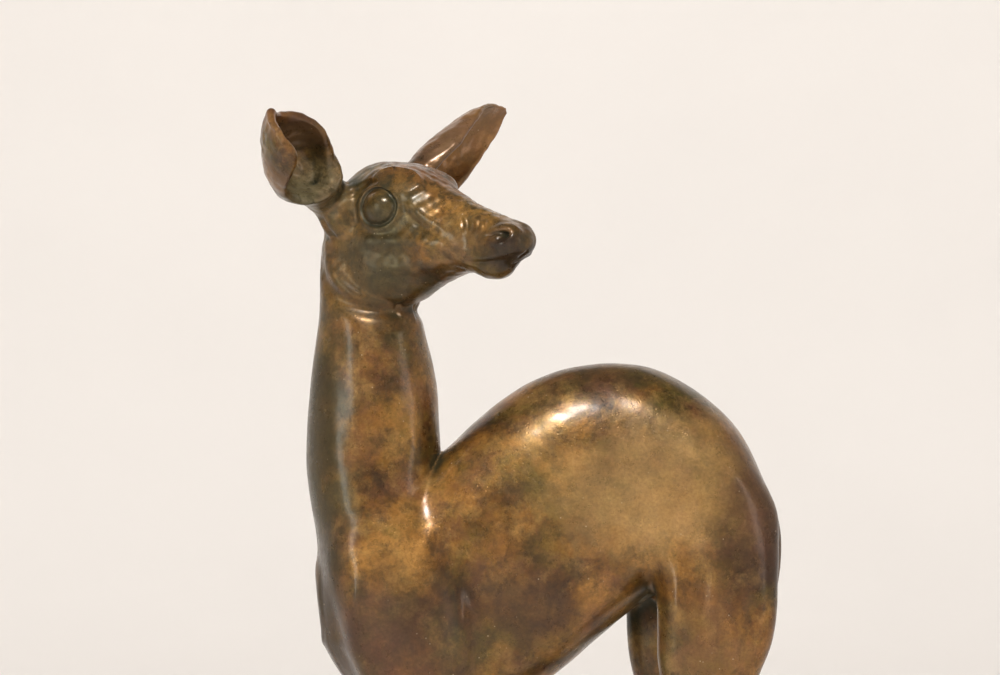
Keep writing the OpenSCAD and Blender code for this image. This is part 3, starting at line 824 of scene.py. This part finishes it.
def make_leg(front, side, node, material):
    table = FORE_SECTIONS if front else HIND_SECTIONS
    step = (FORE_STEP if front else HIND_STEP) if side > 0 else 0
    joint = FORE_JOINT if front else HIND_JOINT
    out = 23 if front else 24
    toe = -80 + step if front else 69.5 + step
    span = (-100, -50) if front else (44, 104)
    y_low, y_high = sorted((side * (out - 14), side * (out + 14)))
    field = Field(BODY, (span[0] + step, y_low, -2), (span[1] + step, y_high, joint + 3), 0.5 * COARSE)
    field.add(BODY, (-130, -60, -6), (125, 60, joint + 6), limb_loft(table, 2, side, step, 2))
    model_foot(field, toe, side * out, 13 if front else 14.5)
    if front:
        strokes = [
            ([(-78, 112, 0), (-79, 98, 0.6), (-77, 86, 0)], 2.2),
            ([(-66, 84, 0), (-66.5, 60, -0.4), (-66.5, 36, -0.3), (-67, 28, 0)], 1.1),
            ([(-74, 128, 0), (-72, 116, -0.4), (-70, 104, 0)], 2.5),
        ]
    else:
        strokes = [
            ([(66, 142, 0), (74, 128, -0.8), (80, 116, -0.9), (84, 106, 0)], 2.4),
            ([(90, 122, 0), (92, 114, 0.7), (90, 104, 0)], 2.2),
            ([(86.5, 96, 0), (85, 70, -0.4), (83.6, 40, -0.3), (84, 30, 0)], 1.1),
        ]
    for points, width in strokes:
        raise_stroke(
            field, BODY, [(p + step, q, h) for p, q, h in points], width, 1, (y_low, y_high),
            lambda y: np.minimum(1, np.abs(y - side * out) / 3)
        )
    casting(node + "_casting", field, node, [level(0, -1), level(joint, 1)], material)


def model_foot(field, toe, middle, heel):
    """Two claws with a cleft between them, a rim where horn starts, and two dewclaws behind."""
    field.press(
        BODY, (toe - 16, middle - 3, -3), (toe + 10, middle + 3, 19),
        lambda x, y, z: 2.6 * np.exp(-((y - middle) / 0.8) ** 2 / 2)
        * (1 - ramp(x, toe - 2, toe + 7)) * (1 - ramp(z, 9, 17))
    )
    field.press(
        BODY, (toe - 16, middle - 10, 4), (toe + 26, middle + 10, 20),
        lambda x, y, z: 0.45 * np.exp(-((z - 9.5 - 0.35 * (toe + 4 - x)) / 0.7) ** 2 / 2)
    )
    for way in (-1, 1):
        claw = (toe + heel, middle + way * 3, 21)
        low = [c - 7 for c in claw]
        high = [c + 7 for c in claw]
        field.add(BODY, low, high, ellipsoid(claw, (2.6, 2, 3.4)), 1.6)


def make_core_plugs(material):
    """Plugs in the belly's core holes, chased almost flush."""
    low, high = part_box("core_plugs")
    field = Field(
        BODY, (low.x / MM - 4, -5, low.z / MM - GROUND - 4),
        (high.x / MM + 4, 5, high.z / MM - GROUND + 4), 0.3 * COARSE
    )
    add_torso(field)
    centres = [low.x / MM + 3, high.x / MM - 3]

    def column(x, y, z):
        return np.minimum(*[np.hypot(x - c, y) for c in centres]) - 2.9 + 0 * z

    where, at = field.window(BODY, (-60, -8, 100), (40, 8, 200))
    field.d[where] = soft_max(field.d[where] - 0.25, column(*at), 0.4)
    casting("core_plug_faces", field, "core_plugs", [], material)


# ---- materials ----

class Nodes:
    """Adds shader nodes to a material and links them in one call each."""

    def __init__(self, name):
        self.material = bpy.data.materials.new(name)
        self.material.use_nodes = True
        self.tree = self.material.node_tree
        self.shader = self.tree.nodes["Principled BSDF"]

    def make(self, kind, inputs=None, **settings):
        node = self.tree.nodes.new(kind)
        for key, value in settings.items():
            setattr(node, key, value)
        for key, value in (inputs or {}).items():
            self.plug(node.inputs[key], value)
        return node

    def plug(self, socket, value):
        if isinstance(value, bpy.types.NodeSocket):
            self.tree.links.new(value, socket)
        else:
            socket.default_value = value

    def feed(self, name, value):
        """Links a value to an input of the surface shader."""
        self.plug(self.shader.inputs[name], value)

    def place(self, scale=(1, 1, 1), offset=(0, 0, 0)):
        where = self.make("ShaderNodeTexCoord").outputs["Object"]
        return self.make(
            "ShaderNodeMapping", {"Vector": where, "Scale": scale, "Location": offset}
        ).outputs["Vector"]

    def noise(self, size, detail=4, rough=0.55, offset=(0, 0, 0), warp=0.0):
        """Noise whose features are about size metres across."""
        node = self.make("ShaderNodeTexNoise", {
            "Vector": self.place(offset=offset), "Scale": 1 / size, "Detail": detail,
            "Roughness": rough, "Distortion": warp,
        })
        return node.outputs["Fac"]

    def region(self, place, half):
        """1 in the middle of an egg-shaped region to 0 at its uneven edge, in the body's axes."""
        middle = (place[0], place[1], place[2] + GROUND)
        where = self.place(
            scale=tuple(1 / (h * MM) for h in half), offset=tuple(-m / h for m, h in zip(middle, half))
        )
        size = self.make("ShaderNodeVectorMath", {0: where}, operation="LENGTH").outputs["Value"]
        uneven = self.noise(0.02, 5, 0.6, offset=tuple(0.1 * c / h for c, h in zip(place, half)))
        size = self.math("ADD", size, self.math("MULTIPLY", self.math("SUBTRACT", uneven, 0.5), 1.6))
        return self.make("ShaderNodeMapRange", {
            "Value": size, "From Min": 1.2, "From Max": 0.3, "To Min": 0.0, "To Max": 1.0,
        }, interpolation_type="SMOOTHSTEP").outputs["Result"]

    def ramp(self, value, *stops):
        """Stops are (place, colour or number)."""
        node = self.make("ShaderNodeValToRGB", {"Fac": value})
        elements = node.color_ramp.elements
        for i, (at, colour) in enumerate(stops):
            element = elements[i] if i < len(elements) else elements.new(at)
            element.position = at
            if not isinstance(colour, tuple):
                colour = (colour, colour, colour)
            element.color = (*colour, 1)
        return node.outputs["Color"]

    def mix(self, amount, a, b, blend="MIX"):
        node = self.make("ShaderNodeMix", data_type="RGBA", blend_type=blend)
        for socket, value in zip((node.inputs[0], node.inputs[6], node.inputs[7]), (amount, a, b)):
            if isinstance(value, tuple) and len(value) == 3:
                value = (*value, 1)
            self.plug(socket, value)
        return node.outputs[2]

    def math(self, operation, a, b):
        node = self.make("ShaderNodeMath", operation=operation)
        self.plug(node.inputs[0], a)
        self.plug(node.inputs[1], b)
        return node.outputs[0]

    def layer(self, base, mask, amount, tint):
        """The base with a tint over it where the mask is light."""
        return self.mix(self.math("MULTIPLY", mask, amount), base, tint)

    def attribute(self, name):
        return self.make("ShaderNodeAttribute", attribute_name=name).outputs["Fac"]

    def bump(self, height, strength, distance):
        inputs = {"Height": height, "Strength": strength, "Distance": distance}
        return self.make("ShaderNodeBump", inputs).outputs["Normal"]


# Tints that drift over the brown: [size, detail, roughness, offset and warp of the noise, the
# range where they come in, amount, tint]
PATINA_CLOUDS = [
    # olive, red-brown, gold, dark stains
    (0.038, 8, 0.68, (0.3, 0.1, 0.7), 0.3, (0.44, 0.62), 0.65, (0.108, 0.086, 0.018)),
    (0.032, 8, 0.68, (0.9, 0.5, 0.2), 0.3, (0.48, 0.64), 0.5, (0.175, 0.072, 0.036)),
    (0.016, 8, 0.74, (0.4, 0.8, 0.1), 0.2, (0.50, 0.68), 0.4, (0.44, 0.255, 0.080)),
    (0.011, 8, 0.78, (0.2, 0.9, 0.4), 0.2, (0.47, 0.62), 0.6, (0.034, 0.024, 0.010)),
]
# Where the colour leans to one tint: [middle, half sizes, amount, tint], in the body's axes. Some regions
# are painted shade or painted light, as marked; the others tint the patina there.
PATINA_AND_PAINTED_LIGHT_REGIONS = [
    # partly dark olive patina, partly painted shade down the front of the neck and chest, on the side
    # turned from the light
    ((-122, -12, 268), (24, 48, 110), 0.92, (0.034, 0.027, 0.010)),
    ((-112, -10, 185), (26, 50, 50), 0.8, (0.045, 0.024, 0.011)),
    ((-76, -30, 176), (34, 44, 44), 0.6, (0.110, 0.046, 0.026)),
    # painted shade low on the barrel behind the shoulder, partly also a dark brown patina tone
    ((-20, -36, 203), (38, 44, 26), 0.75, (0.046, 0.023, 0.013)),
    # painted highlight: lighter gold on the upper flank where light falls, partly also a gold patina tone
    ((40, -30, 262), (66, 50, 40), 0.55, (0.430, 0.260, 0.098)),
    ((98, -20, 250), (30, 54, 60), 0.75, (0.060, 0.028, 0.015)),
    ((20, 0, 322), (90, 50, 14), 0.6, (0.075, 0.040, 0.017)),
    ((70, -30, 190), (22, 30, 30), 0.4, (0.260, 0.120, 0.045)),
    ((-88, -26, 366), (34, 26, 34), 0.78, (0.048, 0.038, 0.014)),
    ((-78, -34, 397), (20, 22, 20), 0.7, (0.070, 0.058, 0.020)),
    ((-62, -20, 412), (26, 30, 15), 0.6, (0.170, 0.064, 0.022)),
    ((-46, -42, 384), (18, 20, 14), 0.5, (0.230, 0.110, 0.045)),
    ((-24, -58, 378), (20, 20, 18), 0.95, (0.018, 0.012, 0.009)),
    # painted light: pale grey-green on the lower wall of the near ear's cup, which faces the light
    ((-125, -30, 407), (26, 26, 15), 0.7, (0.170, 0.150, 0.090)),
    # painted shadow: near black in the upper bowl of the near ear, under its folded lip
    ((-128, -38, 431), (18, 18, 18), 0.9, (0.016, 0.013, 0.010)),
    ((-127, -62, 444), (22, 26, 11), 0.75, (0.075, 0.030, 0.022)),
    ((-62, 22, 436), (50, 24, 30), 0.75, (0.110, 0.060, 0.042)),
]


def patina():
    """Waxed patina: brown bronze under olive, gold and red-brown clouds, dark in the hollows as patina
    and as painted shade, with painted shade and painted light in some regions.
    """
    n = Nodes("waxed_patina_with_painted_light")
    clouds = n.noise(0.044, 7, 0.66, warp=0.25)
    base = n.ramp(
        clouds, (0.40, (0.030, 0.015, 0.006)), (0.48, (0.110, 0.048, 0.012)),
        (0.56, (0.215, 0.096, 0.019)), (0.67, (0.370, 0.180, 0.044)),
    )
    for size, detail, rough, offset, warp, (start, end), amount, tint in PATINA_CLOUDS:
        mask = n.ramp(n.noise(size, detail, rough, offset, warp), (start, 0.0), (end, 1.0))
        base = n.layer(base, mask, amount, tint)
    uneven = n.ramp(clouds, (0.3, 0.75), (0.6, 1.0))
    # regional tints, some of them painted shade and painted light
    for place, half, amount, tint in PATINA_AND_PAINTED_LIGHT_REGIONS:
        base = n.layer(base, n.math("MULTIPLY", n.region(place, half), uneven), amount, tint)
    mottle = n.ramp(n.noise(0.0048, 8, 0.72, (0.8, 0.7, 0.6), 0.3), (0.46, 0.0), (0.60, 1.0))
    on_head = n.region((-70, -20, 400), (90, 75, 75))
    base = n.layer(base, n.math("MULTIPLY", mottle, on_head), 0.75, (0.040, 0.031, 0.013))
    grain = n.ramp(n.noise(0.0016, 4, 0.7), (0.35, 0.84), (0.65, 1.14))
    base = n.mix(1.0, base, grain, "MULTIPLY")
    # painted shade: darkens folds, hollows and places under overhangs from the occlusion measure, in the
    # dark green-black that patina also takes there
    hollow = n.ramp(n.attribute("recess"), (0.10, 0.0), (0.45, 1.0))
    base = n.layer(base, hollow, 0.8, (0.030, 0.032, 0.018))
    rubbed = n.ramp(n.attribute("ridge"), (0.10, 0.0), (0.40, 1.0))
    base = n.layer(base, rubbed, 0.35, (0.43, 0.22, 0.085))
    speck = n.ramp(n.make(
        "ShaderNodeTexVoronoi", {"Vector": n.place(), "Scale": 260.0, "Randomness": 1.0},
        feature="F1",
    ).outputs["Distance"], (0.05, 1.0), (0.12, 0.0))
    sparse = n.ramp(n.noise(0.009, 2, 0.5, (0.6, 0.2, 0.9)), (0.56, 0.0), (0.62, 1.0))
    base = n.layer(base, n.math("MULTIPLY", speck, sparse), 0.55, (0.55, 0.42, 0.26))
    n.feed("Base Color", base)
    metal = n.ramp(n.noise(0.018, 5, 0.6, (0.1, 0.6, 0.3)), (0.35, 0.2), (0.65, 0.5))
    n.feed("Metallic", metal)
    rough = n.ramp(n.noise(0.007, 6, 0.65, (0.7, 0.3, 0.5)), (0.35, 0.24), (0.65, 0.42))
    rough = n.mix(n.math("MULTIPLY", hollow, 0.6), rough, (0.55, 0.55, 0.55))
    n.feed("Roughness", rough)
    n.shader.inputs["Specular IOR Level"].default_value = 0.15
    n.shader.inputs["Coat Weight"].default_value = 0.45
    jaw = n.region((-96, -30, 372), (40, 40, 36))
    n.feed("Coat Roughness", n.ramp(jaw, (0.0, 0.18), (0.6, 0.42)))
    n.shader.inputs["Coat IOR"].default_value = 1.45
    brush = n.noise(0.0045, 5, 0.6, (0.2, 0.2, 0.2), 0.4)
    pits = n.ramp(n.make(
        "ShaderNodeTexVoronoi", {"Vector": n.place(offset=(0.5, 0.1, 0.3)), "Scale": 420.0},
        feature="F1",
    ).outputs["Distance"], (0.10, 0.0), (0.26, 1.0))
    height = n.math("ADD", n.math("MULTIPLY", brush, 0.6), n.math("MULTIPLY", pits, 0.25))
    fine = n.noise(0.0011, 3, 0.7, (0.1, 0.4, 0.8))
    height = n.math("ADD", height, n.math("MULTIPLY", fine, 0.22))
    n.feed("Normal", n.bump(height, 0.5, 0.00035))
    return n.material


def terrace_bronze():
    """Dark satin bronze with a faint cast skin."""
    n = Nodes("dark_cast_bronze")
    clouds = n.noise(0.03, 6, 0.65, warp=0.6)
    base = n.ramp(
        clouds, (0.32, (0.030, 0.024, 0.014)), (0.52, (0.072, 0.050, 0.026)),
        (0.70, (0.120, 0.080, 0.036)),
    )
    green = n.ramp(n.noise(0.012, 6, 0.7, (0.3, 0.3, 0.6)), (0.55, 0.0), (0.70, 1.0))
    base = n.layer(base, green, 0.35, (0.055, 0.060, 0.030))
    n.feed("Base Color", base)
    n.feed("Metallic", n.ramp(clouds, (0.3, 0.5), (0.7, 0.8)))
    n.feed("Roughness", n.ramp(n.noise(0.006, 5, 0.6), (0.35, 0.34), (0.65, 0.52)))
    n.shader.inputs["Coat Weight"].default_value = 0.3
    n.shader.inputs["Coat Roughness"].default_value = 0.25
    skin = n.noise(0.0012, 4, 0.7)
    n.feed("Normal", n.bump(skin, 0.45, 0.0003))
    return n.material


def drawn_metal(name, colours, rough):
    """Drawn or turned metal with fine lines round its length."""
    n = Nodes(name)
    lines = n.make("ShaderNodeTexNoise", {
        "Vector": n.place(scale=(1, 1, 14)), "Scale": 260.0, "Detail": 4.0,
    }).outputs["Fac"]
    n.feed("Base Color", n.ramp(lines, (0.3, colours[0]), (0.7, colours[1])))
    n.shader.inputs["Metallic"].default_value = 1.0
    n.feed("Roughness", n.ramp(lines, (0.3, rough[0]), (0.7, rough[1])))
    n.feed("Normal", n.bump(lines, 0.25, 0.0001))
    return n.material


def felt():
    """Pressed wool felt: matted fibres with a soft sheen."""
    n = Nodes("green_felt")
    fibres = n.noise(0.0008, 6, 0.8, warp=2.5)
    clumps = n.noise(0.004, 4, 0.6, (0.3, 0.5, 0.1))
    base = n.ramp(fibres, (0.3, (0.012, 0.040, 0.022)), (0.7, (0.040, 0.110, 0.062)))
    base = n.mix(1.0, base, n.ramp(clumps, (0.3, 0.8), (0.7, 1.15)), "MULTIPLY")
    n.feed("Base Color", base)
    n.feed("Roughness", n.ramp(fibres, (0.3, 0.85), (0.7, 0.98)))
    n.shader.inputs["Sheen Weight"].default_value = 0.4
    n.shader.inputs["Sheen Roughness"].default_value = 0.5
    n.feed("Normal", n.bump(fibres, 0.8, 0.0004))
    return n.material


def finish_node(node, material):
    """Gives a CAD node that stays in view a better material."""
    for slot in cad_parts[node].material_slots:
        slot.material = material


def studio_paper():
    """Matt paper with a trace of tone, for the floor that curves up into a wall."""
    n = Nodes("studio_paper")
    tone = n.noise(0.6, 3, 0.5)
    colour = n.ramp(tone, (0.3, (0.80, 0.775, 0.75)), (0.7, (0.83, 0.805, 0.78)))
    n.feed("Base Color", colour)
    n.feed("Roughness", n.ramp(tone, (0.3, 0.85), (0.7, 0.95)))
    n.shader.inputs["Specular IOR Level"].default_value = 0.1
    n.feed("Normal", n.bump(n.noise(0.002, 3, 0.6), 0.1, 0.0002))
    return n.material


# ---- floor, light and camera ----

def make_studio():
    """A round floor whose rim curves up into a wall, so every view has a plain ground."""
    flat, bend, top, turns = 1.5, 0.9, 3.2, 96
    profile = [(r, 0) for r in (0.0, 0.3, 0.7, 1.1, flat)]
    profile += [
        (flat + bend * math.sin(a), bend * (1 - math.cos(a)))
        for a in [math.pi / 2 * k / 16 for k in range(1, 17)]
    ]
    profile.append((flat + bend, top))
    points, faces = [], []
    for r, z in profile:
        for k in range(turns):
            a = 2 * math.pi * k / turns
            points.append((r * math.cos(a), r * math.sin(a), z))
    for j in range(len(profile) - 1):
        for k in range(turns):
            a, b = j * turns + k, j * turns + (k + 1) % turns
            faces.append((a, b, b + turns, a + turns))
    mesh = bpy.data.meshes.new("studio_floor")
    mesh.from_pydata(points, [], faces)
    mesh.polygons.foreach_set("use_smooth", [True] * len(mesh.polygons))
    mesh.materials.append(studio_paper())
    floor = new_object("studio_floor", mesh)


def soft_box(name, place, target, size, power, colour, mirrored=True):
    light = bpy.data.lights.new(name, "AREA")
    light.shape = "RECTANGLE"
    light.size, light.size_y = size
    light.energy = power
    light.color = colour
    holder = new_object(name, light)
    holder.visible_glossy = mirrored
    holder.location = place
    holder.rotation_euler = (Vector(target) - Vector(place)).to_track_quat("-Z", "Y").to_euler()


def make_lights():
    middle = (-0.02, 0, 0.30)
    soft_box("key", (-0.24, -1.12, 1.50), middle, (0.30, 0.15), 20, (1.0, 0.98, 0.96))
    soft_box("fill", (-0.3, -1.6, 2.1), middle, (1.6, 0.9), 10, (1.0, 0.97, 0.93), mirrored=False)
    soft_box("window", (-1.30, -1.05, 0.50), middle, (0.26, 0.92), 5, (0.92, 1.0, 0.95))
    soft_box("room", (1.35, -0.85, 0.55), middle, (0.26, 0.9), 2.6, (1.0, 0.86, 0.79))
    soft_box("ceiling", (0.1, 0.5, 2.6), (0.1, 0.4, 0), (2.0, 1.6), 4, (1.0, 0.97, 0.95), mirrored=False)
    soft_box(
        "backdrop", (0.2, 0.75, 2.5), (-0.2, 2.4, 1.3), (2.2, 0.8), 28, (1.0, 0.97, 0.95),
        mirrored=False
    )
    world = bpy.data.worlds.new("studio")
    world.use_nodes = True
    background = world.node_tree.nodes["Background"]
    background.inputs["Color"].default_value = (1.0, 0.97, 0.94, 1)
    background.inputs["Strength"].default_value = 0.14
    bpy.context.scene.world = world


def make_camera():
    """At the statuette's shoulder height, square to its side, as in the view that is matched."""
    lens = bpy.data.cameras.new("camera")
    lens.lens = 93.6
    lens.sensor_width = 36
    lens.dof.use_dof = False
    lens.clip_start, lens.clip_end = 0.05, 20
    camera = new_object("camera", lens)
    camera.location = (-0.030, -1.300, 0.34975)
    camera.rotation_euler = (math.radians(90), 0, 0)
    bpy.context.scene.camera = camera


def build():
    bronze = patina()
    make_torso(bronze)
    make_neck(bronze)
    make_head(bronze)
    make_ear(-1, "near_ear_casting", "right_ear", bronze)
    make_ear(1, "far_ear_casting", "left_ear", bronze)
    make_tail(bronze)
    for front, side, node in (
        (True, -1, "left_foreleg"), (True, 1, "right_foreleg"),
        (False, -1, "left_hind_leg"), (False, 1, "right_hind_leg"),
    ):
        make_leg(front, side, node, bronze)
    make_core_plugs(bronze)
    finish_node("terrace", terrace_bronze())
    pin_metal = drawn_metal("bare_bronze", ((0.50, 0.33, 0.15), (0.62, 0.43, 0.21)), (0.25, 0.38))
    for joint in ("neck", "head", "leg", "ear"):
        finish_node(joint + "_joint_pins", pin_metal)
    finish_node("tail_joint_pin", pin_metal)
    zinc = drawn_metal("zinc_plated_steel", ((0.55, 0.56, 0.58), (0.68, 0.69, 0.70)), (0.28, 0.42))
    for node in ("hoof_studs", "stud_washers", "stud_nuts"):
        finish_node(node, zinc)
    finish_node("felt_sheet", felt())


build()
make_studio()
make_lights()
make_camera()
bpy.context.scene.view_settings.view_transform = "Standard"
